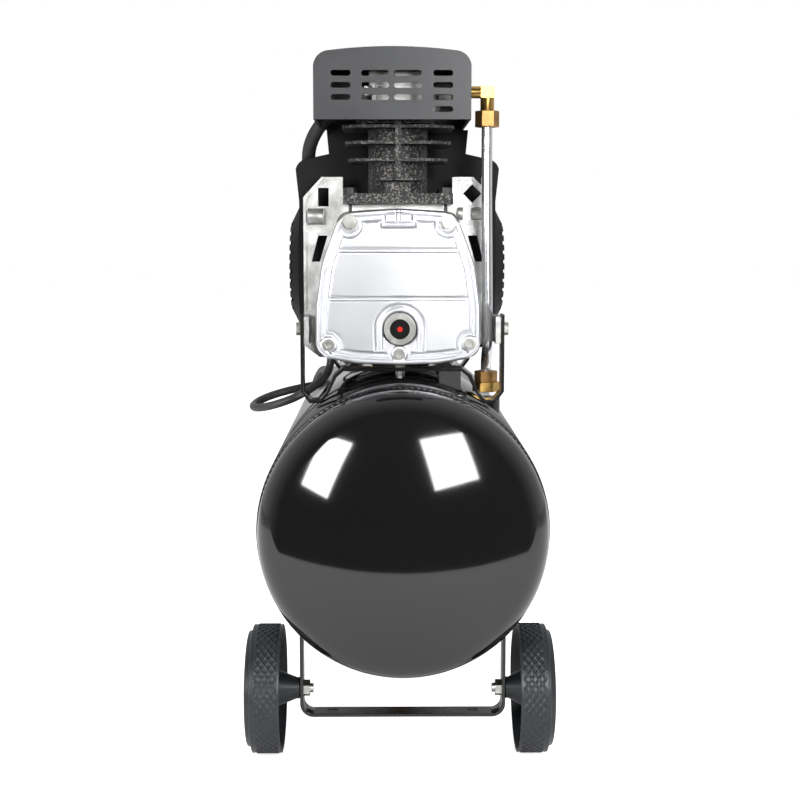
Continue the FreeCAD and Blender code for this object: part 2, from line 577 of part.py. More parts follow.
def cover():
    """The bright front cover, its gasket, its bolts and the oil sight glass."""
    x = "pump_offset"
    plate = outline(case_points(), "cover_depth", ("0", "weld + cover_front", "0"), rounds=case_rounds())
    well = [
        (f"{x} + 41", "case_top - 11"), (f"{x} + 48", "case_top - 22"), (f"{x} + 59", "case_top - 55"),
        (f"{x} + 63", "case_top - 95"), (f"{x} + 61", "case_floor + 24"), (f"{x} + 50", "case_floor + 18"),
        (f"{x} + 18", "case_floor + 14"), (f"{x} - 18", "case_floor + 14"), (f"{x} - 50", "case_floor + 18"),
        (f"{x} - 61", "case_floor + 24"), (f"{x} - 63", "case_top - 95"), (f"{x} - 59", "case_top - 55"),
        (f"{x} - 48", "case_top - 22"), (f"{x} - 41", "case_top - 11"),
    ]
    recess = outline(well, "2.5", ("0", "weld + cover_front - 0.5", "0"))
    panel = outline([(f"{a} * 1", b) for a, b in [
        (f"{x} + 37", "case_top - 17"), (f"{x} + 54", "case_top - 56"), (f"{x} + 58", "case_top - 95"),
        (f"{x} + 56", "case_floor + 30"), (f"{x} + 21", "case_floor + 20"), (f"{x} - 21", "case_floor + 20"),
        (f"{x} - 56", "case_floor + 30"), (f"{x} - 58", "case_top - 95"), (f"{x} - 54", "case_top - 56"),
        (f"{x} - 37", "case_top - 17"),
    ]], "3", ("0", "weld + cover_front - 0.5", "0"))
    spots = [(f"{x} - 41.5", "case_top - 13.5"), (f"{x} + 42.5", "case_top - 13.5"),
             (f"{x} - 60", "case_floor + 18"),
             (f"{x} + 62", "case_floor + 19"), (f"{x} + 1", "case_floor + 10")]
    pads = [rod("9", "cover_depth - 1", (a, "weld + cover_front - 0.5", b), "Y") for a, b in spots]
    boss = rod("18", "cover_depth - 1", (f"{x} + 1.5", "weld + cover_front - 2.5", "sight_height"), "Y")
    arch = mid_box(("36", "cover_depth - 1", "20"), (f"{x} + 1.5", "weld + cover_front + 1.5",
                                                     "sight_height - 20"))
    face = common(fuse(cut(plate, recess), panel, *pads, boss, arch),
                  outline(case_points(), "20", ("0", "weld + cover_front - 5", "0"), rounds=case_rounds()))
    holes = [rod("3.1", "30", (a, "weld + cover_front - 5", b), "Y") for a, b in spots]
    sinks = [rod("6.6", "5", (a, "weld + cover_front - 3", b), "Y") for a, b in spots[2:]]
    glass = rod("13.6", "6", (f"{x} + 1.5", "weld + cover_front - 3", "sight_height"), "Y")
    shaft = rod("6", "8", (x, "weld + cover_front + 4.5", "shaft_height"), "Y")
    node("crankcase_cover", cut(face, *holes, *sinks, glass, shaft))
    seal = outline(case_points(), "gasket_wall", ("0", "weld + cover_front + cover_depth", "0"),
                   rounds=case_rounds())
    hole = outline(case_points("(-1 * case_wall)"), "gasket_wall",
                   ("0", "weld + cover_front + cover_depth", "0"))
    node("crankcase_gasket", cut(seal, hole))
    bolts = []
    for index, (a, b) in enumerate(spots):
        face_y = "weld + cover_front - 0.5" if index < 2 else "weld + cover_front + 2"
        if index < 2:
            bolts.append(fuse(prism(6, "5.6", "5", (a, face_y, b), "-Y"),
                              rod("6.8", "1.2", (a, face_y, b), "-Y"),
                              rod("3", "9", (a, face_y, b), "Y")))
        else:
            bolts.append(cut(fuse(rod("5", "4.5", (a, face_y, b), "-Y"), rod("3", "6", (a, face_y, b), "Y")),
                             prism(6, "2.9", "4", (a, f"{face_y} - 6", b), "Y")))
    node("cover_bolts", group(*bolts))
    at = (f"{x} + 1.5", "weld + cover_front + 3", "sight_height")
    node("sight_glass_ring", ring("13.5", "8.6", "7", at, "-Y"))
    node("sight_glass_lens", rod("8.55", "5", at, "-Y"))


def rounded_plate(half_x, half_y, wall, at, radius):
    """A flat plate with round corners, centred on its point."""
    x, y = half_x, half_y
    r = radius
    points = [(x, f"-({y}) + {r}"), (x, f"{y} - {r}"), (f"{x} - {r}", y), (f"-({x}) + {r}", y),
              (f"-({x})", f"{y} - {r}"),
              (f"-({x})", f"-({y}) + {r}"), (f"-({x}) + {r}", f"-({y})"), (f"{x} - {r}", f"-({y})")]
    return outline(points, wall, at, "XY_Plane", {1: f"-{r}", 3: f"-{r}", 5: f"-{r}", 7: f"-{r}"})


def cylinder():
    x, y = "pump_offset", "cylinder_y"
    pieces = [
        mid_box(("2 * fin_one_half - 2", "74", "base_wall"), (x, y, "base_height")),
        rod("barrel_radius", "deck_height - base_height", (x, y, "base_height")),
        mid_box(("5", "82", "deck_height - base_height - 22"), (x, y, "base_height + 20")),
        mid_box(("21", "74", "16"), (x, y, "base_height + 2")),
    ]
    for half, drop, deep in (("fin_one_half", "8", "41"), ("fin_two_half", "21.5", "40"),
                             ("fin_three_half", "36", "39")):
        pieces.append(rounded_plate(half, deep, "fin_wall", (x, y, f"deck_height - {drop}"), "16"))
    pieces.append(rounded_plate("19.5", "37", "fin_wall", (x, y, "deck_height - 52"), "8"))
    pieces.append(rounded_plate("35.5", "37", "4", (x, y, "deck_height - 4"), "9"))
    spots = [(f"{x} {sign} 41", f"{y} {deep} 24") for sign in ("-", "+") for deep in ("-", "+")]
    holes = [rod("3.1", "30", (a, b, "base_height - 2")) for a, b in spots]
    corners = [(f"{x} {sign} 29", f"{y} {deep} 30") for sign in ("-", "+") for deep in ("-", "+")]
    screws = [rod("3.1", "20", (a, b, "deck_height - 15")) for a, b in corners]
    bore = rod("bore_radius", "200", (x, y, "base_height - 20"))
    node("cylinder_barrel", cut(fuse(*pieces), bore, *holes, *screws))
    bolts = [hex_bolt("5.8", "5", "3", "base_wall + 10", (a, b, "base_height + base_wall"), "-Z") for a,
             b in spots]
    plate = rounded_plate("35.5", "37", "valve_wall", (x, y, "deck_height"), "9")
    ports = [rod("4", "20", (f"{x} {sign} 11", y, "deck_height - 2")) for sign in ("-", "+")]
    lower = [rod("3.1", "20", (a, b, "deck_height - 2")) for a, b in corners]
    reeds = [box(("10", "34", "0.4"), (f"{x} + 6", f"{y} - 17", "deck_height + valve_wall")),
             box(("10", "26", "0.4"), (f"{x} - 16", f"{y} - 13", "deck_height - 0.4"))]
    node("valve_plate", group(cut(plate, *ports, *lower), *reeds))
    base = "deck_height + valve_wall"
    block = fuse(rounded_plate("35.5", "37", "10", (x, y, base), "9"),
                 mid_box(("58", "60", "head_height - 8"), (x, y, f"{base} + 8")),
                 rod("9", "26", (f"{x} + 20", y, "elbow_height"), "X"))
    fins = [mid_box(("50", "2.2", "12"), (x, f"{y} {gap}", f"{base} + head_height"))
            for gap in ("- 24", "- 12", "+ 0", "+ 12", "+ 24")]
    rooms = [box(("22", "46", "head_height - 8"), (f"{x} + 3", f"{y} - 23", base)),
             box(("22", "46", "head_height - 8"), (f"{x} - 25", f"{y} - 23", base)),
             rod("5.25", "40", (f"{x} + 15", y, "elbow_height"), "X")]
    posts = [rod("4.5", "shroud_top - shroud_wall - 2 - deck_height - valve_wall - 22",
                 (f"{x} {side} 20", f"{y} + 18", f"{base} + 22")) for side in "-+"]
    tops = [rod("3.1", "60", (a, b, base)) for a, b in corners]
    tops += [rod("2.05", "30", (f"{x} {side} 20", f"{y} + 18", "shroud_top - 24")) for side in "-+"]
    heads = [rod("7", "60", (a, b, f"{base} + 10")) for a, b in corners]
    node("cylinder_head", cut(fuse(block, *fins, *posts), *rooms, *tops, *heads))
    bolts += [hex_bolt("5.8", "5", "3", "22", (a, b, f"{base} + 10"), "-Z") for a, b in corners]
    bolts += [hex_bolt("5", "3", "2", "18", (f"{x} {side} 20", f"{y} + 18", "shroud_top + 0.1"), "-Z")
              for side in "-+"]
    bolts += tie_bolts()
    node("machine_bolts", group(*bolts))


def shroud():
    """The slotted plastic box over the head, open below."""
    x = "shroud_offset"
    deep, half = "shroud_depth", "shroud_half"
    front = "weld + shroud_front"
    def shell(inset):
        wall_x, crown = f"{half} - {inset}", f"shroud_top - 3.5 - {inset}"
        points = [
            (wall_x, "shroud_floor"), (wall_x, "shroud_top - 16"), (f"{wall_x} - 12", crown),
            (f"12 - ({wall_x})", crown), (f"-({wall_x})", "shroud_top - 16"), (f"-({wall_x})", "shroud_floor"),
        ]
        return outline(points, f"{deep} - 2 * {inset}", (x, f"{front} + {inset}", "0"),
                       rounds={1: "-13.5", 2: "-420", 3: "-13.5"})

    outer = shell("0")
    inner = shell("shroud_wall")
    slots = []
    columns = ((-42.8, 11.8), (-14.1, 18.3), (12.9, 18.2), (42.1, 11.9))
    for level in range(4):
        z = f"shroud_floor + 6 + {level} * slot_pitch"
        for middle, wide in columns:
            if level == 0 and middle < 40:
                continue
            slots.append(fuse(mid_box((str(wide), "12", "slot_height"), (f"{x} + {middle}", front, z)),
                              rod("slot_height / 2", "12",
                                  (f"{x} + {middle} - {wide / 2}", f"{front} - 6",
                                   f"{z} + slot_height / 2"), "Y"),
                              rod("slot_height / 2", "12",
                                  (f"{x} + {middle} + {wide / 2}", f"{front} - 6",
                                   f"{z} + slot_height / 2"), "Y")))
    elbow = mid_box(("30", "24", "24"), (f"{x} + {half}", "cylinder_y", "elbow_height - 12"))
    hose = mid_box(("30", "18", "28"), (f"{x} - {half}", "weld + 120", "shroud_floor - 5"))
    holes = [rod("2.2", "20", (f"pump_offset {side} 20", "cylinder_y + 18", "shroud_top - 10"))
             for side in "-+"]
    node("head_shroud", cut(outer, inner, *slots, elbow, hose, *holes))
    node("air_filter", cut(mid_box(("27", "100 - cylinder_depth + 30", "20"),
                                   ("pump_offset - 52", "cylinder_y + 22", "shroud_floor + 18.5")),
                           mid_box(("21", "44", "14"),
                                   ("pump_offset - 52", "cylinder_y + 22", "shroud_floor + 21.5"))))


def discharge():
    """Brass elbow, nut, aluminium tube and the check valve on the tank."""
    y, x = "cylinder_y", "tube_side"
    arm = fuse(rod("5.2", f"{x} - 41.5 - pump_offset", (x, y, "elbow_height"), "-X"),
               rod("6", "16", (x, y, "elbow_foot")))
    node("discharge_elbow", cut(fuse(arm, mid_box(("12", "12", "10"), (x, y, "elbow_height - 5"))),
                                rod("tube_bore", "16", (x, y, "elbow_foot"))))
    nut = cut(prism(6, "nut_radius", "nut_height", (x, y, "elbow_foot - nut_height")),
              rod("tube_radius + fit_gap", "nut_height", (x, y, "elbow_foot - nut_height")))
    end = ("port_side", "weld + 112", "port_top + 9")
    low = cut(prism(6, "nut_radius", "10", end), rod("tube_radius + fit_gap", "10", end))
    node("tube_nuts", group(nut, low))
    points = numbers([(x, y, "elbow_foot"), (x, y, "elbow_foot - 69"),
                      (f"{x} + 1.5", f"{y} + 1", "saddle + 64"),
                      (f"{x} + 2", "weld + 82", "port_top + 42"),
                      ("port_side", "weld + 112", "port_top + 29"), end])
    node("discharge_tube", pipe(points, size("tube_radius"), size("tube_bore"), 16)[0])
    node("check_valve", cut(fuse(prism(6, "12.5", "9", ("port_side", "weld + 112", "port_top")),
                                 rod("8", "9", ("port_side", "weld + 112", "port_top"))),
                            rod("3.5", "9", ("port_side", "weld + 112", "port_top"))))


def cowl_points(inset):
    """The cowl's outline, clockwise from its top right corner and drawn in by the inset."""
    corners = [
        ("neck_half", f"cowl_top - {inset}"), ("neck_half - 2", f"cowl_shoulder + 8 - {inset}"),
        ("cowl_half - 8", f"cowl_shoulder + 3 - {inset}"), ("cowl_half", "cowl_shoulder - 6"),
        ("cowl_half - 3", "cowl_shoulder - 35"), ("cowl_half - 3", "cowl_floor + 10"),
        ("cowl_half - 12", f"cowl_floor + {inset}"),
    ]
    right = [(f"pump_offset + ({across} - {inset})", up) for across, up in corners]
    left = [(f"pump_offset - ({across} - {inset})", up) for across, up in corners]
    return right + left[::-1]


def cowl():
    x, y = "pump_offset", "weld + cowl_front"
    rounds = {2: "12", 10: "12"}
    outer = outline(cowl_points("0"), "cowl_length", ("0", y, "0"), rounds=rounds)
    inner = outline(cowl_points("cowl_wall"), "cowl_length - 2 * cowl_wall", ("0", f"{y} + cowl_wall", "0"),
                    rounds=rounds)
    mouth = mid_box(("124", "20", "122"), (x, y, "shaft_height - 61"))
    cuts = [rod("hose_radius + 3", "40", (f"{x} - 82", "weld + 142", "cowl_shoulder - 15")),
            rod("vent_radius - 6", "2 * cowl_half + 20",
                (f"{x} - cowl_half - 10", "weld + vent_depth", "vent_height"), "X")]
    grille = [mid_box(("120", "12", "4"), (x, "weld + cowl_front + cowl_length", f"shaft_height + {step}"))
              for step in range(-45, 76, 12)]
    lower = mid_box(("154", "cowl_length - 50", "10"), ("0", f"{y} + cowl_length / 2 + 22", "cowl_floor - 5"))
    node("motor_cowl", cut(outer, inner, mouth, lower, *cuts, *grille))
    vents = []
    for axis, sign in (("-X", "-"), ("X", "+")):
        at = (f"{x} {sign} (cowl_half - 3)", "weld + vent_depth", "vent_height")
        profile = [("0", "vent_reach - 2.5"), ("vent_radius - 22", "vent_reach - 5"), ("vent_radius - 4", "0"),
                   ("vent_radius", "0"), ("vent_radius", "3"), ("vent_radius - 20", "vent_reach - 2"),
                   ("0", "vent_reach")]
        dish = turned(profile, at, axis)
        rows = [mid_box(("30", f"{wide} / 2 - 7", "3.5"),
                        (f"{x} {sign} (cowl_half + 8)", f"weld + vent_depth {half} ({wide} / 4 + 3.5)",
                         f"vent_height + {step}"))
                for step, wide in ((-42, 50), (-33, 72), (-24, 84), (-15, 92), (-6, 96), (3, 96), (12, 92),
                                   (21, 84), (30, 72), (39, 50)) for half in "-+"]
        vents.append(cut(dish, *rows))
    node("side_vents", group(*vents))


def tie_bolts():
    """Long bolts that clamp the stator between the crankcase flange and the end bracket."""
    return [hex_bolt("5.6", "4", "3", "motor_end + 8 - flange_face - flange_depth",
                     (f"pump_offset {a} 49", "weld + motor_end + 8", f"shaft_height {b} 49"), "-Y")
            for a in "-+" for b in "-+"]


def motor():
    """Stator, windings, rotor, shaft, fan and the bearings that carry the shaft."""
    x, z = "pump_offset", "shaft_height"
    y = "weld + motor_face + 18"
    stack = cut(mid_box(("2 * stator_half", "stator_length", "2 * stator_half"),
                        (x, f"{y} + stator_length / 2", f"{z} - stator_half")),
                     rod("rotor_radius + rotor_gap", "200", (x, f"{y} - 20", z), "Y"),
                     *[rod("3.1", "200", (f"{x} {a} 49", f"{y} - 20", f"{z} {b} 49"), "Y") for a in "-+"
                       for b in "-+"])
    coils = [ring("46", "rotor_radius + 4", "15", (x, f"{y} - 15", z), "Y"),
             ring("46", "rotor_radius + 4", "15", (x, f"{y} + stator_length", z), "Y")]
    node("motor_stator", group(stack, *coils))
    plate = "weld + motor_end"
    end = fuse(mid_box(("112", "8", "112"), (x, f"{plate} + 4", f"{z} - 56")),
               rod("22", "14", (x, plate, z), "Y"),
               mid_box(("2 * (rear_arm_half - strap_wall - 0.1)", "8", "24"),
                       ("0", "weld + rear_strap - 1", "arm_top - 25")))
    windows = [rod("12", "30", (f"{x} {a} 34", f"{plate} - 5", z), "Y") for a in "-+"]
    ties = [rod("3.1", "30", (f"{x} {a} 49", f"{plate} - 5", f"{z} {b} 49"), "Y") for a in "-+" for b in "-+"]
    ties += [rod("3.05", "14", (f"{sign}(rear_arm_half)", "weld + rear_strap", "arm_top - 13"), axis)
             for sign, axis in (("-", "X"), ("", "-X"))]
    node("motor_end_bracket", cut(end, rod("16 + fit_gap", "30", (x, f"{plate} - 5", z), "Y"), *windows,
                                  *ties))
    bearings = [ring("16", "shaft_radius + fit_gap", "9", (x, "flange_y - 8", z), "Y"),
                ring("16", "shaft_radius + fit_gap", "10", (x, f"{plate} + 2", z), "Y")]
    node("shaft_bearings", group(*bearings))
    web = "cylinder_y + 7"
    throw = "crank_radius"
    shaft = fuse(rod("shaft_radius", "fan_face + fan_depth - cylinder_depth - 7", (x, web, z), "Y"),
                 rod("14", "7", (x, web, z), "Y"), mid_box(("22", "7", "crank_radius + 12"),
                                                           (x, f"{web} + 3.5", f"{z} - {throw} - 10")),
                 common(rod("34", "7", (x, web, z), "Y"), mid_box(("70", "20", "40"), (x, web, f"{z} + 4"))))
    node("crankshaft", shaft)
    node("rotor", ring("rotor_radius", "shaft_radius + fit_gap", "stator_length", (x, y, z), "Y"))
    hub = ring("14", "shaft_radius + fit_gap", "fan_depth - 2", (x, "weld + fan_face", z), "Y")
    disc = ring("26", "12", "3", (x, "weld + fan_face", z), "Y")
    blades = []
    for index in range(6):
        turn = Rotation(Vector(0, 1, 0), index * 60)
        offset = turn.multVec(Vector(12, 0, -1.2))
        blade = box(("fan_radius - 12", "fan_depth - 3", "2.4"), (x, "weld + fan_face", z))
        at = (f"{x} + ({offset.x:.4f})", "weld + fan_face", f"{z} + ({offset.z:.4f})")
        blades.append(locate(blade, at, turn))
    node("cooling_fan", fuse(hub, disc, *blades))
    piston(x, z)


def piston(x, z):
    """Piston, its pin and rings, and the rod that the crank pin stays with."""
    y = "cylinder_y"
    wrist = "wrist_low"
    crown = cut(rod("bore_radius - piston_gap", "piston_height", (x, y, f"{wrist} - 13")),
                mid_box(("26", "17", "24"), (x, y, f"{wrist} - 14")),
                rod("pin_radius", "60", (x, f"{y} - 30", wrist), "Y"))
    rings = [ring("bore_radius - piston_gap", "bore_radius - 2", "1.5", (x, y, f"{wrist} + {level}"))
             for level in (6, 9.5)]
    grooves = [ring("bore_radius + 2", "bore_radius - 2", "1.5", (x, y, f"{wrist} + {level}"))
               for level in (6, 9.5)]
    node("piston", cut(crown, *grooves))
    node("piston_pin_and_rings", group(rod("pin_radius", "36", (x, f"{y} - 18", wrist), "Y"), *rings))
    low = "pin_low"
    bar = fuse(rod("8.2", "14", (x, f"{y} - 7", wrist), "Y"), rod("13", "12", (x, f"{y} - 6", low), "Y"),
               mid_box(("10", "8", "rod_length - 14"), (x, y, f"{low} + 7")))
    node("connecting_rod", fuse(cut(bar, rod("pin_radius + fit_gap", "40", (x, f"{y} - 20", wrist), "Y"),
                                    rod("7", "40", (x, f"{y} - 20", low), "Y")),
                                rod("7", "12.5", (x, f"{y} - 6", low), "Y")))


def breather():
    points = numbers([
        ("pump_offset - 58", "weld + 118", "shroud_floor + 13.5"),
        ("pump_offset - 66", "weld + 119", "shroud_floor + 8"),
        ("pump_offset - 76", "weld + 123", "shroud_floor - 6"),
        ("pump_offset - 81", "weld + 134", "shroud_floor - 18"),
        ("pump_offset - 82", "weld + 145", "shroud_floor - 33"),
    ])
    node("breather_hose", pipe(points, size("hose_radius"))[0])


def controls():
    """Pressure switch, manifold, regulator, gauges, safety valve, outlet and drain at the far end."""
    x, y = "switch_side", "weld + switch_depth"
    low = "switch_floor"
    riser = rod("9", f"{low} - 20 - riser_top", (x, y, "riser_top"))
    block = mid_box(("60", "26", "20"), (x, y, f"{low} - 20"))
    bores = [rod("5", "60", (x, y, f"{low} - 60")), rod("4", "100", (f"{x} - 25", y, f"{low} - 10"), "X")]
    fittings = [cut(fuse(riser, block), *bores)]
    case = mid_box(("switch_wide", "switch_long", "switch_tall"), (x, f"{y} - 4", low))
    room = mid_box(("switch_wide - 5", "switch_long - 5", "switch_tall - 8"), (x, f"{y} - 4", f"{low} + 4"))
    knob_hole = rod("5", "20", (x, f"{y} - 4", f"{low} + switch_tall - 10"))
    reset = rod("4.1", "20", (f"{x}", f"{y} - 4 + switch_long / 2 - 10", f"{low} + 20"), "Y")
    block = cut(mid_box(("switch_wide - 12", "switch_long - 30", "30"), (x, f"{y} - 4", f"{low} + 4")),
                rod("5", "60", (x, f"{y} - 4", f"{low} + 20")))
    node("pressure_switch", group(cut(case, room, knob_hole, reset), block))
    node("switch_knob", fuse(rod("knob_radius", "12", (x, f"{y} - 4", f"{low} + switch_tall + 6")),
                             rod("4.7", "36", (x, f"{y} - 4", f"{low} + switch_tall - 24"))))
    node("reset_button", rod("3.9", "12", (x, f"{y} - 4 + switch_long / 2 - 8", f"{low} + 20"), "Y"))
    side = f"{x} - 30"
    node("regulator_body", cut(fuse(rod("9", "12", (side, y, f"{low} - 10"), "-X"),
                                    rod("15", "40", (f"{x} - 54", f"{y} - 0", f"{low} - 28"))),
                               rod("4.6", "30", (f"{x} - 54", y, f"{low} + 1")),
                               rod("5", "14", (side, y, f"{low} - 10"), "-X")))
    node("regulator_knob", fuse(rod("knob_radius", "20", (f"{x} - 54", y, f"{low} + 14")),
                                rod("4.5", "13", (f"{x} - 54", y, f"{low} + 2"))))
    faces = [("tank_gauge", f"{x} + 6", f"{low} - 10"), ("line_gauge", f"{x} - 54", f"{low} - 10")]
    cases, glasses = [], []
    for name, gx, gz in faces:
        start = f"{y} + 13" if name == "tank_gauge" else f"{y} + 15.1"
        back = f"{y} + 26"
        cup = fuse(rod("4", f"14", (gx, start, gz), "Y"),
                   rod("gauge_radius", "gauge_depth", (gx, back, gz), "Y"))
        cases.append(cut(cup, rod("gauge_radius - 2", "gauge_depth", (gx, f"{back} + 3", gz), "Y"),
                         rod("1.05", "20", (gx, f"{back} - 1", gz), "Y")))
        glasses.append(rod("gauge_radius - 2", "1.5", (gx, f"{back} + gauge_depth - 2", gz), "Y"))
        pointer = fuse(rod("1", "5.5", (gx, f"{back} + 0.5", gz), "Y"),
                       box(("1.2", "0.8", "14"), (f"{gx} - 0.6", f"{back} + 5.2", f"{gz} - 2")))
        node(f"{name}_needle", pointer)
    node("gauge_cases", group(*cases))
    node("gauge_glasses", group(*glasses))
    vx = f"{x} + 22"
    fittings.append(cut(fuse(prism(6, "8", "8", (vx, f"{y} - 13", f"{low} - 10"), "-Y"),
                             rod("6", "12", (vx, f"{y} - 13", f"{low} - 10"), "-Y")),
                             rod("2.1", "30", (vx, f"{y} - 13", f"{low} - 10"), "-Y")))
    pull = fuse(rod("2", "14", (vx, f"{y} - 15", f"{low} - 10"), "-Y"),
                ring("8", "6", "1.6", (vx, f"{y} - 36.2", f"{low} - 10.8"), "Z"))
    node("safety_ring", pull)
    cx = f"{x} + 30"
    fittings.append(cut(fuse(rod("8", "30", (cx, y, f"{low} - 10"), "X"),
                             rod("11", "5", (cx, y, f"{low} - 10"), "X")),
                        rod("coupler_bore", "30", (cx, y, f"{low} - 10"), "X")))
    node("manifold", group(*fittings))
    node("coupler_sleeve", ring("11", "8 + fit_gap", "16", (f"{cx} + 11", y, f"{low} - 10"), "X"))
    dy, dz = "weld + drain_depth", "tank_height - tank_radius - 10"
    node("drain_cock", cut(fuse(rod("9", "14", ("0", dy, f"{dz} - 14.3")),
                                mid_box(("22", "4", "8"), ("0", dy, f"{dz} - 22")),
                                rod("3.9", "22", ("0", dy, f"{dz} - 14.3")))))


def cord():
    """The mains lead: out of the cowl's floor, a loop to one side, back over the tank and down to a coil."""
    route = [
        (-66, 147, 352), (-66, 147, 340), (-69, 143, 330), (-75.5, 134, 322), (-88, 120, 314.5), (-101.5,
                                                                                                  115, 308),
        (-116, 115.5, 303), (-128.5, 121, 299.5), (-136.5, 131, 298), (-139.8, 143, 298), (-139, 156.5, 299),
        (-134, 168, 301.5), (-125, 176, 304.5), (-110, 182, 308.5), (-92, 190, 311.5), (-82.5, 204, 312),
        (-79.5, 225, 311), (-79.5, 275, 310.4), (-79.5, 330, 310.4), (-81, 380, 311), (-89.5, 432, 304.5),
        (-98.5, 459, 285), (-102.5, 483.5, 246), (-104, 503, 195), (-106, 519, 144), (-106, 534.5, 92),
        (-101, 553, 46), (-91, 567.5, 19), (-76, 574, 6.5), (-50, 576, 3.9),
    ]
    weld = size("weld")
    tube, path, radii = pipe([(a, b + weld, c) for a, b, c in route], size("cord_radius"))
    section = math.pi * size("cord_radius") ** 2
    print("cord length", round(path.Length, 1), "volume ratio",
          round(tube.Shape.Volume / (section * path.Length), 4))
    print("cord radii", [round(radius, 1) for radius in radii])
    node("power_cord", tube)
    start, end = route[0], route[-1]
    node("cable_gland", ring("8", "cord_radius + fit_gap", "8",
                             (str(start[0]), f"weld + {start[1]}", "cowl_floor - 8")))
    middle = (f"{end[0]} + coil_radius + coil_tube / 2 - 1", f"weld + {end[1]}")
    node("cord_coil", ring("coil_radius + coil_tube / 2", "coil_radius - coil_tube / 2", "coil_tube + 3",
                           (*middle, "0.2")))
    pins = [rod("2", "18", (f"{middle[0]} {side} 9.5", f"{middle[1]} + 15.6", "12"), "Y") for side in "-+"]
    node("mains_plug", fuse(mid_box(("34", "30", "23"), (middle[0], f"{middle[1]} + 2.6", "0.3")), *pins))


PARTS = (tank, wheel_bracket, wheels, handle, mount_straps, crankcase, cover, cylinder, shroud,
         discharge, cowl, motor, breather, controls, cord)


def check():
    """Stops the run if any object failed or any sub-part is not a sound solid."""
    doc.recompute()
    failed = [thing.Name for thing in doc.Objects if {"Invalid", "Error"} & set(thing.State)]
    if failed:
        raise RuntimeError(f"failed objects: {failed}")
    for thing in NODES:
        shape = thing.Shape
        if shape.isNull() or not shape.isValid() or not shape.Solids:
            raise RuntimeError(f"{thing.Label} is not a sound solid")


for build in PARTS:
    build()
check()
os.makedirs("parts", exist_ok=True)
for thing in NODES:
    thing.Shape.exportStep(f"parts/{thing.Label}.step")
print(len(NODES), "sub-parts")
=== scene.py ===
"""A 24-litre direct-drive air compressor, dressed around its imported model."""

import bpy
import numpy as np
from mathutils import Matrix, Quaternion, Vector


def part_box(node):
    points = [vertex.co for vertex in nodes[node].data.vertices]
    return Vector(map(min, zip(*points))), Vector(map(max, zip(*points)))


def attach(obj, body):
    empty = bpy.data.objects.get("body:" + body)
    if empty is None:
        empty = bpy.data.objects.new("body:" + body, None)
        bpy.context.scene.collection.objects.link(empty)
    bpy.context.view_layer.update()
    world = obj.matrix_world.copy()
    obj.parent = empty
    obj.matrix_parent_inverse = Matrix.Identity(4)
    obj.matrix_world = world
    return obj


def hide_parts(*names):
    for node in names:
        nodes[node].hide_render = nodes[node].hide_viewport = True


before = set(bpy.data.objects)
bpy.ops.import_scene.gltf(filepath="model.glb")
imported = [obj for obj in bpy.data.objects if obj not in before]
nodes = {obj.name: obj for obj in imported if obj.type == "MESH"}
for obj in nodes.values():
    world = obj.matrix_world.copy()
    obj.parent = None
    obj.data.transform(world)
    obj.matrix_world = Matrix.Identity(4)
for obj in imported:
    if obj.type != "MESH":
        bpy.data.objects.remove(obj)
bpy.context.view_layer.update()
MM = 0.001

# Studio. A pale floor and backdrop, a lamp overhead, two soft boxes that the gloss paint shows,
# and weak fills; the camera stands low in front of the pump end.
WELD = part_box("tank_shell")[0][1]
camera_data = bpy.data.cameras.new("camera")
camera_data.lens = 63.95
camera_data.sensor_width = 36
camera = bpy.data.objects.new("camera", camera_data)
camera.location = (-13.6 * MM, WELD - 1.185, 0.4608)
camera.rotation_euler = np.radians((90 - 6.743, 0, -0.524))
bpy.context.scene.collection.objects.link(camera)
bpy.context.scene.camera = camera
bpy.context.scene.view_settings.view_transform = "Standard"


def lamp(name, place, aim, power, wide, tall, glossy=True, roll=0):
    """A rectangular soft lamp at a place, turned to its aim and rolled by some degrees."""
    data = bpy.data.lights.new(name, "AREA")
    data.shape = "RECTANGLE"
    data.size, data.size_y, data.energy = wide, tall, power
    thing = bpy.data.objects.new(name, data)
    thing.location = place
    facing = (Vector(aim) - Vector(place)).to_track_quat("-Z", "Y")
    thing.rotation_euler = (facing @ Quaternion((0, 0, 1), np.radians(roll))).to_euler()
    thing.visible_glossy = glossy
    bpy.context.scene.collection.objects.link(thing)


lamp("overhead", (0, -0.1, 2.1), (0, 0, 0.3), 24, 1.6, 1.8, glossy=False)
lamp("box_left", (-0.86, WELD - 1.40, 0.75), (-0.86, WELD, 0.75), 21, 0.42, 0.66, roll=-22)
lamp("box_right", (0.51, WELD - 1.40, 0.79), (0.51, WELD, 0.79), 21, 0.53, 0.57, roll=14)
lamp("front_fill", (0.1, WELD - 1.9, 1.3), (0, WELD, 0.35), 9, 1.2, 0.9, glossy=False)
lamp("side_left", (-1.7, -0.1, 0.9), (0, 0, 0.35), 9, 0.9, 1.4, glossy=False)
lamp("side_right", (1.7, -0.1, 0.9), (0, 0, 0.35), 9, 0.9, 1.4, glossy=False)
lamp("rear", (0.3, 1.9, 1.4), (0, 0.2, 0.35), 14, 1.2, 1.0, glossy=False)

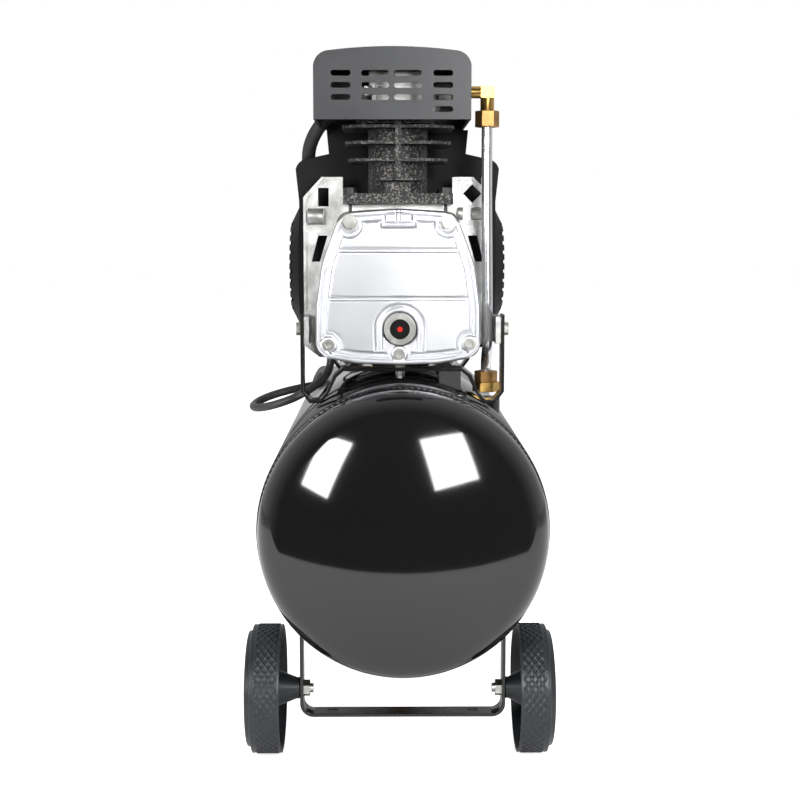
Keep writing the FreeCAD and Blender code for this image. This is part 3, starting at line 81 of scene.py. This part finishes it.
world = bpy.data.worlds.new("studio")
bpy.context.scene.world = world
world.use_nodes = True
tree = world.node_tree
tree.nodes.clear()
place = tree.nodes.new("ShaderNodeTexCoord")
split = tree.nodes.new("ShaderNodeSeparateXYZ")
ramp = tree.nodes.new("ShaderNodeMapRange")
ramp.inputs["From Min"].default_value, ramp.inputs["From Max"].default_value = -0.62, 0.15
ramp.inputs["To Min"].default_value, ramp.inputs["To Max"].default_value = 0.035, 0.6
path = tree.nodes.new("ShaderNodeLightPath")
strength = tree.nodes.new("ShaderNodeMix")
ground = tree.nodes.new("ShaderNodeBackground")
ground.inputs["Color"].default_value = (1, 1, 1, 1)
out = tree.nodes.new("ShaderNodeOutputWorld")
tree.links.new(place.outputs["Generated"], split.inputs[0])
tree.links.new(split.outputs["Y"], ramp.inputs["Value"])
tree.links.new(path.outputs["Is Camera Ray"], strength.inputs["Factor"])
tree.links.new(ramp.outputs["Result"], strength.inputs["A"])
strength.inputs["B"].default_value = 1.0
tree.links.new(strength.outputs["Result"], ground.inputs["Strength"])
tree.links.new(ground.outputs[0], out.inputs[0])

floor_mesh = bpy.data.meshes.new("floor")
front_edge = WELD - 0.50
floor_mesh.from_pydata([(-6, front_edge, 0), (6, front_edge, 0), (6, 9, 0), (-6, 9, 0)], [], [(0, 1, 2, 3)])
floor = bpy.data.objects.new("floor", floor_mesh)
bpy.context.scene.collection.objects.link(floor)
pale = bpy.data.materials.new("pale_floor")
pale.use_nodes = True
tree = pale.node_tree
shade = tree.nodes["Principled BSDF"]
shade.inputs["Base Color"].default_value = (0.82, 0.82, 0.83, 1)
shade.inputs["Roughness"].default_value = 0.9
path = tree.nodes.new("ShaderNodeLightPath")
lift = tree.nodes.new("ShaderNodeMath")
lift.operation = "MULTIPLY"
lift.inputs[1].default_value = 0.75
shade.inputs["Emission Color"].default_value = (1, 1, 1, 1)
tree.links.new(path.outputs["Is Camera Ray"], lift.inputs[0])
tree.links.new(lift.outputs[0], shade.inputs["Emission Strength"])
floor_mesh.materials.append(pale)


# Tank. A rolled and welded steel shell with two pressed, dished ends tucked inside it,
# all sprayed with thick gloss black paint.
def finish(name, colour, rough, metal=0.0, mottle=0.0, mottle_size=40, bump=0.0, grain=400, wear=None, coat=0.0):
    """A paint, metal or plastic: a broad mottle in its colour and roughness, and a fine grain in its surface."""
    thing = bpy.data.materials.new(name)
    thing.use_nodes = True
    tree = thing.node_tree
    shade = tree.nodes["Principled BSDF"]
    shade.inputs["Metallic"].default_value = metal
    shade.inputs["Coat Weight"].default_value = coat
    spot = tree.nodes.new("ShaderNodeTexCoord")
    broad = tree.nodes.new("ShaderNodeTexNoise")
    broad.inputs["Scale"].default_value = mottle_size
    broad.inputs["Detail"].default_value = 6
    tree.links.new(spot.outputs["Object"], broad.inputs["Vector"])
    tint = tree.nodes.new("ShaderNodeMix")
    tint.data_type = "RGBA"
    low = [channel * (1 - mottle) for channel in colour]
    high = wear or [min(channel * (1 + mottle), 1) for channel in colour]
    tint.inputs["A"].default_value = (*low, 1)
    tint.inputs["B"].default_value = (*high, 1)
    spread = tree.nodes.new("ShaderNodeMapRange")
    spread.inputs["From Min"].default_value = 0.5 if wear else 0.35
    spread.inputs["From Max"].default_value = 0.72 if wear else 0.65
    tree.links.new(broad.outputs["Fac"], spread.inputs["Value"])
    tree.links.new(spread.outputs["Result"], tint.inputs["Factor"])
    tree.links.new(tint.outputs["Result"], shade.inputs["Base Color"])
    gloss = tree.nodes.new("ShaderNodeMapRange")
    gloss.inputs["To Min"].default_value, gloss.inputs["To Max"].default_value = rough * 0.85, min(rough * 1.2, 1)
    tree.links.new(broad.outputs["Fac"], gloss.inputs["Value"])
    tree.links.new(gloss.outputs["Result"], shade.inputs["Roughness"])
    if bump:
        fine = tree.nodes.new("ShaderNodeTexNoise")
        fine.inputs["Scale"].default_value = grain
        fine.inputs["Detail"].default_value = 3
        dent = tree.nodes.new("ShaderNodeBump")
        dent.inputs["Strength"].default_value = bump
        dent.inputs["Distance"].default_value = 0.0006
        tree.links.new(spot.outputs["Object"], fine.inputs["Vector"])
        tree.links.new(fine.outputs["Fac"], dent.inputs["Height"])
        tree.links.new(dent.outputs["Normal"], shade.inputs["Normal"])
    return thing


def dress(material, *names):
    """Gives CAD nodes a material."""
    for name in names:
        mesh = nodes[name].data
        mesh.materials.clear()
        mesh.materials.append(material)


def soften(width, *names, angle=35):
    """Joins a CAD node's loose triangles and rounds its sharp edges a little, as a real edge is."""
    for name in names:
        weld = nodes[name].modifiers.new("weld", "WELD")
        weld.merge_threshold = 1e-5
        bevel = nodes[name].modifiers.new("edge", "BEVEL")
        bevel.width, bevel.segments = width, 2
        bevel.limit_method, bevel.angle_limit = "ANGLE", np.radians(angle)
        bevel.harden_normals = True


def surface(name, points, around=False, along=False, material=None, body="chassis", instead=(), smooth=True):
    """A piece whose surface is a grid of points, closed round its first or second direction."""
    count_u, count_v = points.shape[:2]
    u = np.arange(count_u if around else count_u - 1)[:, None]
    v = np.arange(count_v if along else count_v - 1)[None, :]
    next_u, next_v = (u + 1) % count_u, (v + 1) % count_v
    faces = np.stack([u * count_v + v, next_u * count_v + v, next_u * count_v + next_v, u * count_v + next_v], -1)
    mesh = bpy.data.meshes.new(name)
    mesh.from_pydata(points.reshape(-1, 3).tolist(), [], faces.reshape(-1, 4).tolist())
    mesh.materials.append(material)
    mesh.polygons.foreach_set("use_smooth", np.full(len(mesh.polygons), smooth))
    mesh.update()
    thing = bpy.data.objects.new(name, mesh)
    bpy.context.scene.collection.objects.link(thing)
    close(mesh)
    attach(thing, body)
    if instead:
        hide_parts(*instead)
    return thing


def close(mesh):
    """Merges poles and seams and turns every face outward."""
    import bmesh
    work = bmesh.new()
    work.from_mesh(mesh)
    bmesh.ops.remove_doubles(work, verts=work.verts, dist=1e-6)
    bmesh.ops.dissolve_degenerate(work, dist=1e-7, edges=work.edges)
    bmesh.ops.recalc_face_normals(work, faces=work.faces)
    work.to_mesh(mesh)
    work.free()


def turned(outline, centre, axis, steps):
    """Carries a closed (radius, distance) outline round an axis through a centre."""
    turn = np.linspace(0, 2 * np.pi, steps, endpoint=False)[:, None]
    radius, away = outline[None, :, 0], outline[None, :, 1] + 0 * turn
    first, second = radius * np.cos(turn), radius * np.sin(turn)
    order = {"X": (away, first, second), "Y": (first, away, second), "Z": (first, second, away)}[axis]
    return np.stack(order, -1) + np.array(centre)


def rounded(corners, radius, steps=6):
    """A closed outline through corners, each cut by an arc of at most the given radius (radii may be a list)."""
    corners = np.array(corners, float)
    radii = np.broadcast_to(radius, len(corners))
    path = []
    for index, (corner, size_of) in enumerate(zip(corners, radii)):
        before, after = corners[index - 1] - corner, corners[(index + 1) % len(corners)] - corner
        reach_before, reach_after = np.linalg.norm(before), np.linalg.norm(after)
        half = np.arccos(np.clip(before @ after / (reach_before * reach_after), -1, 1)) / 2
        reach = min(size_of / np.tan(half), 0.48 * reach_before, 0.48 * reach_after) if size_of else 0
        start, end = corner + before / reach_before * reach, corner + after / reach_after * reach
        share = np.linspace(0, 1, steps)[:, None]
        path.append((1 - share) ** 2 * start + 2 * share * (1 - share) * corner + share ** 2 * end)
    return np.concatenate(path)


tank_paint = finish("gloss_black_paint", (0.006, 0.006, 0.0065), 0.075, mottle=0.1, mottle_size=9, bump=0.012, grain=90, coat=0.35)
low, high = (np.array(corner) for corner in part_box("tank_shell"))
tank_radius = (high[0] - low[0]) / 2
tank_middle = (0.0, 0.0, (low[2] + high[2]) / 2)
wall = 2 * MM
shell = np.array([(tank_radius - wall, low[1]), (tank_radius - 0.6 * MM, low[1]), (tank_radius, low[1] + 0.8 * MM),
                  (tank_radius, high[1] - 0.8 * MM), (tank_radius - 0.6 * MM, high[1]), (tank_radius - wall, high[1])])
surface("tank_body", turned(shell, tank_middle, "Y", 192), True, True, tank_paint, instead=("tank_shell",))

skirt, depth, knuckle = 10 * MM, 48 * MM, 30 * MM
outer = tank_radius - wall
inset = outer - knuckle
crown = (inset ** 2 + depth ** 2 - knuckle ** 2) / (2 * (depth - knuckle))
lean = np.arcsin(inset / (crown - knuckle))
crown_turn = np.linspace(0, lean, 60)
knuckle_turn = np.linspace(lean, np.pi / 2, 16)
dish = np.concatenate([
    np.stack([crown * np.sin(crown_turn), depth - crown + crown * np.cos(crown_turn)], -1),
    np.stack([inset + knuckle * np.sin(knuckle_turn), knuckle * np.cos(knuckle_turn)], -1)[1:],
])
for name, edge, way in (("front", low[1], -1), ("rear", high[1], 1)):
    outline = np.stack([dish[:, 0], edge + way * (skirt + dish[:, 1])], -1)
    lip = np.array([(outer, edge - way * 2 * MM), (outer - wall, edge - way * 2 * MM), (outer - wall, edge + way * skirt)])
    inside = np.stack([dish[::-1, 0] * (1 - wall / outer), edge + way * (skirt + dish[::-1, 1] - wall)], -1)
    surface(f"tank_end_{name}", turned(np.concatenate([outline, lip, inside]), tank_middle, "Y", 192), True, True,
            tank_paint, instead=(f"tank_head_{name}",))
    turn = np.linspace(0, 2 * np.pi, 720, endpoint=False)[:, None]
    bead_turn = np.linspace(0, 2 * np.pi, 10, endpoint=False)[None, :]
    ripple = 1.1 * MM * (1 + 0.12 * np.sin(turn * 150))
    ring_radius = outer + 0.2 * MM + ripple * np.cos(bead_turn)
    bead = np.stack([ring_radius * np.cos(turn), edge + way * (0.4 * MM + ripple * np.sin(bead_turn)) + 0 * turn,
                     ring_radius * np.sin(turn)], -1) + np.array(tank_middle)
    surface(f"weld_bead_{name}", bead, True, True, tank_paint)
strap_paint = finish("black_strap_paint", (0.008, 0.008, 0.008), 0.22, mottle=0.2, bump=0.05, grain=150, coat=0.2)
dress(strap_paint, "tank_ports", "wheel_bracket", "front_mount_strap", "rear_mount_strap", "foot_bracket", "handle_frame")
soften(0.6 * MM, "wheel_bracket", "front_mount_strap", "rear_mount_strap", "foot_bracket")

# Wheels. Each is one moulding of hard, dull plastic: a ribbed tread with a zigzag, a dished web and a long hub,
# running on a plated bolt through the bracket.
wheel_plastic = finish("wheel_plastic", (0.015, 0.017, 0.020), 0.36, mottle=0.15, mottle_size=60, bump=0.1, grain=900)
HUB_REACH, WIDTH, RIM, WEB, STEP = (amount * MM for amount in (15.2, 26, 4.5, 13, 4.5))
for side, name in ((-1, "wheel_left"), (1, "wheel_right")):
    low, high = (np.array(corner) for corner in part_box(name))
    radius = (high[2] - low[2]) / 2
    hub_end, outer_face = sorted((abs(low[0]), abs(high[0])))
    inner = outer_face - WIDTH - STEP
    middle = (0.0, (low[1] + high[1]) / 2, (low[2] + high[2]) / 2)
    floor_of = radius - 0.9 * MM
    tread = [(floor_of, inner + across * MM) for across in np.linspace(1.5, 23.5, 56)]
    corners = [(4.1 * MM, hub_end), (9.5 * MM, hub_end), (9.5 * MM, hub_end + 3 * MM), (17 * MM, inner + WEB - 6 * MM),
               (20 * MM, inner + WEB), (radius - RIM - 3 * MM, inner + WEB), (radius - RIM, inner + WEB - 3 * MM),
               (radius - RIM + 1.5 * MM, inner), (radius - 0.4 * MM, inner)]
    corners += tread
    corners += [(radius - 0.4 * MM, inner + WIDTH), (radius - 5.5 * MM, inner + WIDTH), (radius - 6.5 * MM, outer_face),
                (radius - 15 * MM, outer_face), (radius - 18 * MM, inner + WEB + 5 * MM), (17 * MM, inner + WEB + 4 * MM),
                (12 * MM, inner + WIDTH), (4.1 * MM, inner + WIDTH)]
    radii = [0, 1 * MM, 1 * MM, 5 * MM, 2 * MM, 2 * MM, 2 * MM, 0.8 * MM, 0.8 * MM] + [0] * 56
    radii += [1.2 * MM, 1 * MM, 1.5 * MM, 2 * MM, 3 * MM, 3 * MM, 1.5 * MM, 0]
    outline = rounded(corners, radii, 4)
    steps = 540
    points = turned(outline * (1, side), middle, "X", steps)
    turn = np.linspace(0, 2 * np.pi, steps, endpoint=False)[:, None]
    across = (outline[None, :, 1] - inner) / MM
    on_tread = (np.abs(outline[None, :, 0] - floor_of) < 1e-6) & (across > 1.4) & (across < 23.6)
    wave = np.abs(((turn * 22 / (2 * np.pi)) % 1) * 2 - 1)
    ridge = np.zeros_like(across + turn)
    for start in (3.0, 9.0, 15.0):
        for line in (start + 6.5 * wave, start + 6.5 * (1 - wave)):
            ridge = np.maximum(ridge, np.clip(1.6 - np.abs(across - line) / 0.6, 0, 1) * (across > start - 0.5))
    lift = np.where(on_tread, ridge * 0.85 * MM, 0)
    points[..., 1] += lift * np.cos(turn)
    points[..., 2] += lift * np.sin(turn)
    surface(f"{name}_moulding", points, True, True, wheel_plastic, body=name, instead=(name,))
zinc = finish("zinc_plate", (0.55, 0.55, 0.52), 0.32, metal=1, mottle=0.12, mottle_size=150, bump=0.06, grain=600)
dress(zinc, "axle_bolts", "frame_bolts", "cover_bolts", "safety_ring", "shaft_bearings")
soften(0.35 * MM, "axle_bolts", "frame_bolts", "cover_bolts")

# Crankcase. A rough sand-cast aluminium box with two side arms, and a smooth die-cast cover bolted to its front
# over a thin gasket; the cover has a raised rim, a stepped panel and an oil sight glass in an arched boss.
rough_cast = finish("rough_cast_aluminium", (0.50, 0.50, 0.49), 0.42, metal=0.9, mottle=0.28, mottle_size=70, bump=0.55, grain=650)
dress(rough_cast, "crankcase", "cylinder_head", "motor_end_bracket")
soften(0.7 * MM, "crankcase")
gasket_paper = finish("gasket_paper", (0.10, 0.095, 0.085), 0.8, mottle=0.3, bump=0.2)
dress(gasket_paper, "crankcase_gasket")
black_oxide = finish("black_oxide_steel", (0.05, 0.05, 0.05), 0.45, metal=0.8, mottle=0.25, mottle_size=200, bump=0.1)
dress(black_oxide, "machine_bolts")
low, high = (np.array(corner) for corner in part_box("crankcase_cover"))
middle_x, face_y = (low[0] + high[0]) / 2, high[1] - 9 * MM
floor_z, top_z = low[2], high[2]
half = (high[0] - low[0]) / 2 / MM
rise = (top_z - floor_z) / MM
right = [(44, rise - 2.5), (53, rise - 12), (66, rise - 48), (half, rise - 84), (half, 15), (62, 6), (36, 1.4)]
left = [(-across, up) for across, up in right[::-1]]
ring = rounded([(0, rise + 0.6)] + right + [(0, 0)] + left, [120, 12, 9, 60, 60, 14, 14, 40, 120, 40, 14, 14, 60, 60, 9, 12], 12)
centre = np.array((0.0, rise * 0.47))
lengths = np.concatenate([[0], np.cumsum(np.linalg.norm(np.diff(np.vstack([ring, ring[:1]]), axis=0), axis=1))])
stations = np.linspace(0, lengths[-1], 520, endpoint=False)
edge = np.stack([np.interp(stations, lengths, np.append(ring[:, axis], ring[0, axis])) for axis in (0, 1)], -1)
share = np.concatenate([np.linspace(0, 0.72, 70, endpoint=False), np.linspace(0.72, 1, 90)])[None, :, None]
flat = centre + (edge[:, None, :] - centre) * share


def ramped(value, start, end):
    """A smooth step from 0 at start to 1 at end."""
    share_of = np.clip((value - start) / (end - start), 0, 1)
    return share_of * share_of * (3 - 2 * share_of)


def inset_of(points, line):
    """Each point's distance from the nearest edge of a closed line."""
    start, way = line, np.roll(line, -1, 0) - line
    best = np.full(points.shape[:-1], 1e9)
    for begin, step in zip(start, way):
        along = np.clip(((points - begin) @ step) / max(step @ step, 1e-9), 0, 1)
        best = np.minimum(best, np.linalg.norm(points - begin - along[..., None] * step, axis=-1))
    return best


inset = inset_of(flat, edge[::4])
across, up = flat[..., 0], flat[..., 1]
bolts = [(-41.5, rise - 13), (42.5, rise - 13), (-60, 17.6), (62, 18.6), (1, 9.6)]
bolt_gap = np.min([np.hypot(across - x, up - z) for x, z in bolts], axis=0)
panel_inset = np.minimum(np.minimum(inset - 9.0, bolt_gap - 10.8), 40)
sight = (1.5, 31.5)
arch = np.where(up > sight[1], np.hypot(across - sight[0], up - sight[1]), np.abs(across - sight[0]))
panel_inset = np.minimum(panel_inset, np.where(up > 12, arch - 20, 40))
tab = np.maximum(np.abs(across - 0.5) - 11.5, (rise - 11.5) - up)
panel_inset = np.minimum(panel_inset, np.maximum(tab, -3) - 3)
height = -2.6 * ramped(inset, 3.6, 5.2)
height += 2.4 * ramped(panel_inset, -0.9, 1.3)
height += 2.4 * (1 - ramped(bolt_gap, 6.6, 7.8)) * ramped(inset, 3.6, 5.2)
height += 0.9 * (1 - ramped(np.abs(inset - 6.8), 0.35, 0.9)) * (bolt_gap > 8) * (up < rise - 20)
height += ramped(panel_inset, 0.5, 3) * np.clip(1 - (across / 66) ** 2 - ((up - 70) / 90) ** 2, 0, 1)
for level in (rise - 33, rise - 74.5):
    height += -0.9 * ramped(panel_inset, 0.5, 2.0) * (ramped(up, level - 4.5, level - 3.2) - ramped(up, level - 0.9, level + 0.3))
height += 1.5 * (1 - ramped(np.abs(arch - 16.6), 1.2, 2.2)) * (up > 14) * ramped(inset, 3, 6)
height += 2.9 * (1 - ramped(tab, -0.8, 0.8)) * ramped(inset, 3.0, 5.2)
height -= 1.4 * (1 - ramped(np.abs(across - 0.5), 0.8, 2.2)) * (1 - ramped(tab, -0.8, 0.8))
height -= 6.5 * (1 - ramped(np.hypot(across - sight[0], up - sight[1]), 14.5, 14.9))
height = np.clip(height, -6.5, 2.2) - 2.2 * (1 - np.sqrt(np.clip(1 - (1 - np.clip(inset / 2.2, 0, 1)) ** 2, 0, 1)))
front = np.stack([middle_x + across * MM, face_y - height * MM, floor_z + up * MM], -1)
back = front[:, ::-1].copy()
back[..., 1] = high[1]
cover_metal = finish("die_cast_aluminium", (0.78, 0.79, 0.82), 0.34, metal=1.0, mottle=0.04, mottle_size=12, bump=0.05, grain=420)
surface("cover_casting", np.concatenate([front, back], 1), True, False, cover_metal, instead=("crankcase_cover",))
dress(zinc, "sight_glass_ring")
soften(0.5 * MM, "sight_glass_ring")
lens = finish("oil_window", (0.012, 0.012, 0.012), 0.12, mottle=0.1)
tree = lens.node_tree
shade = tree.nodes["Principled BSDF"]
spot = tree.nodes.new("ShaderNodeTexCoord")
away = tree.nodes.new("ShaderNodeVectorMath")
away.operation = "DISTANCE"
low, high = (np.array(corner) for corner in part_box("sight_glass_lens"))
away.inputs[1].default_value = ((low[0] + high[0]) / 2, low[1], (low[2] + high[2]) / 2)
dot = tree.nodes.new("ShaderNodeMath")
dot.operation = "LESS_THAN"
dot.inputs[1].default_value = 2.3 * MM
paint = tree.nodes.new("ShaderNodeMix")
paint.data_type = "RGBA"
paint.inputs["A"].default_value, paint.inputs["B"].default_value = (0.012, 0.012, 0.012, 1), (0.6, 0.03, 0.02, 1)
tree.links.new(spot.outputs["Object"], away.inputs[0])
tree.links.new(away.outputs["Value"], dot.inputs[0])
tree.links.new(dot.outputs[0], paint.inputs["Factor"])
tree.links.new(paint.outputs["Result"], shade.inputs["Base Color"])
dress(lens, "sight_glass_lens")

# Cylinder. Sand-cast iron with thin square fins, left bare and flecked at random with lighter worn metal;
# the head above it is cast aluminium.
cast_iron = finish("cast_iron", (0.020, 0.0195, 0.019), 0.5, metal=0.55, bump=0.9, grain=750, mottle_size=520, wear=(0.24, 0.23, 0.22))
dress(cast_iron, "cylinder_barrel")
steel = finish("bare_steel", (0.35, 0.35, 0.35), 0.35, metal=1, mottle=0.15, bump=0.05)
dress(steel, "valve_plate", "motor_stator", "crankshaft", "rotor", "piston_pin_and_rings", "gauge_cases")
dress(cover_metal, "piston", "connecting_rod")

# Head shroud, cowl and side vents. Moulded plastic: satin dark grey over the head, dull black round the motor.
shroud_plastic = finish("shroud_plastic", (0.023, 0.024, 0.027), 0.36, mottle=0.08, bump=0.1, grain=1300)
dress(shroud_plastic, "head_shroud")
soften(2.2 * MM, "head_shroud", angle=50)
cowl_plastic = finish("cowl_plastic", (0.0022, 0.0022, 0.0022), 0.6, mottle=0.2, bump=0.12, grain=900)
cowl_plastic.node_tree.nodes["Principled BSDF"].inputs["Specular IOR Level"].default_value = 0.22
dress(cowl_plastic, "motor_cowl", "side_vents")
soften(1.2 * MM, "motor_cowl", angle=50)
black_plastic = finish("black_plastic", (0.02, 0.02, 0.021), 0.35, mottle=0.15, bump=0.06, grain=900)
dress(black_plastic, "air_filter", "cooling_fan", "pressure_switch", "regulator_knob", "cable_gland", "mains_plug")
soften(1.0 * MM, "pressure_switch", "mains_plug", angle=50)

# Discharge line. A drawn aluminium tube between a brass elbow and a check valve, held by yellowed hexagon nuts.
brass = finish("brass", (0.68, 0.43, 0.13), 0.3, metal=1, mottle=0.15, mottle_size=120, bump=0.05)
dress(brass, "discharge_elbow", "check_valve", "manifold", "regulator_body", "coupler_sleeve", "drain_cock")
bronze = finish("aged_brass", (0.36, 0.20, 0.07), 0.38, metal=0.9, mottle=0.25, mottle_size=160, bump=0.1)
dress(bronze, "tube_nuts")
soften(0.6 * MM, "tube_nuts", "discharge_elbow", "check_valve")
tube_metal = finish("drawn_aluminium", (0.74, 0.75, 0.78), 0.26, metal=0.9, mottle=0.05, bump=0.03)
dress(tube_metal, "discharge_tube")

# Controls. A red-capped switch and reset button, a regulator and two dial gauges behind clear windows.
red_plastic = finish("red_plastic", (0.5, 0.02, 0.015), 0.3, mottle=0.1)
dress(red_plastic, "switch_knob", "reset_button", "tank_gauge_needle", "line_gauge_needle")
clear = finish("clear_window", (0.9, 0.92, 0.92), 0.05)
clear.node_tree.nodes["Principled BSDF"].inputs["Transmission Weight"].default_value = 1.0
dress(clear, "gauge_glasses")

# Rubber. Feet, buffers, the handle's sleeve and the breather hose, all dull black.
rubber = finish("black_rubber", (0.016, 0.016, 0.017), 0.55, mottle=0.2, bump=0.15, grain=700)
dress(rubber, "rubber_mounts", "handle_grip", "breather_hose")

# Mains lead. A round rubber-sheathed lead: out of the cowl's floor, a loop to one side, back along the tank,
# down to the floor and into a coil of four turns.
lead_rubber = finish("lead_rubber", (0.03, 0.03, 0.032), 0.45, mottle=0.1, bump=0.05)
thick = 7.5 * MM
route = [
    (-66, 147, 352), (-66, 147, 340), (-69, 143, 330), (-75.5, 134, 322), (-88, 120, 314.5), (-101.5, 115, 308),
    (-116, 115.5, 303), (-128.5, 121, 299.5), (-136.5, 131, 298), (-139.8, 143, 298), (-139, 156.5, 299),
    (-134, 168, 301.5), (-125, 176, 304.5), (-110, 182, 308.5), (-92, 190, 311.5), (-82.5, 204, 312),
    (-79.5, 225, 311), (-79.5, 275, 310.4), (-79.5, 330, 310.4), (-81, 380, 311), (-89.5, 432, 304.5),
    (-98.5, 459, 285), (-102.5, 483.5, 246), (-104, 503, 195), (-106, 519, 144), (-106, 534.5, 92),
    (-101, 553, 46), (-91, 567.5, 19), (-76, 574, 6.5), (-50, 576, 3.9),
]
low, high = (np.array(corner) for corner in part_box("cord_coil"))
coil_middle, coil_radius = (low + high) / 2, (high[0] - low[0]) / 2 - thick / 2
lead_points = [(x * MM, WELD + y * MM, z * MM) for x, y, z in route[:-1]]
for step in range(4 * 14):
    turn = np.pi + 2 * np.pi * step / 14
    lap = step // 14
    ring_of = coil_radius - (0, thick, thick, 0)[lap]
    rise_of = low[2] + thick / 2 + (0, 0, thick, thick)[lap]
    lead_points.append((coil_middle[0] + ring_of * np.cos(turn), coil_middle[1] - ring_of * np.sin(turn), rise_of))
curve = bpy.data.curves.new("mains_lead", "CURVE")
curve.dimensions = "3D"
curve.bevel_depth, curve.bevel_resolution, curve.resolution_u = thick / 2, 5, 8
curve.use_fill_caps = True
spline = curve.splines.new("NURBS")
spline.points.add(len(lead_points) - 1)
for point, at in zip(spline.points, lead_points):
    point.co = (*at, 1)
spline.order_u = 3
spline.use_endpoint_u = True
curve.materials.append(lead_rubber)
lead = bpy.data.objects.new("mains_lead", curve)
bpy.context.scene.collection.objects.link(lead)
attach(lead, "chassis")
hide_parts("power_cord", "cord_coil")
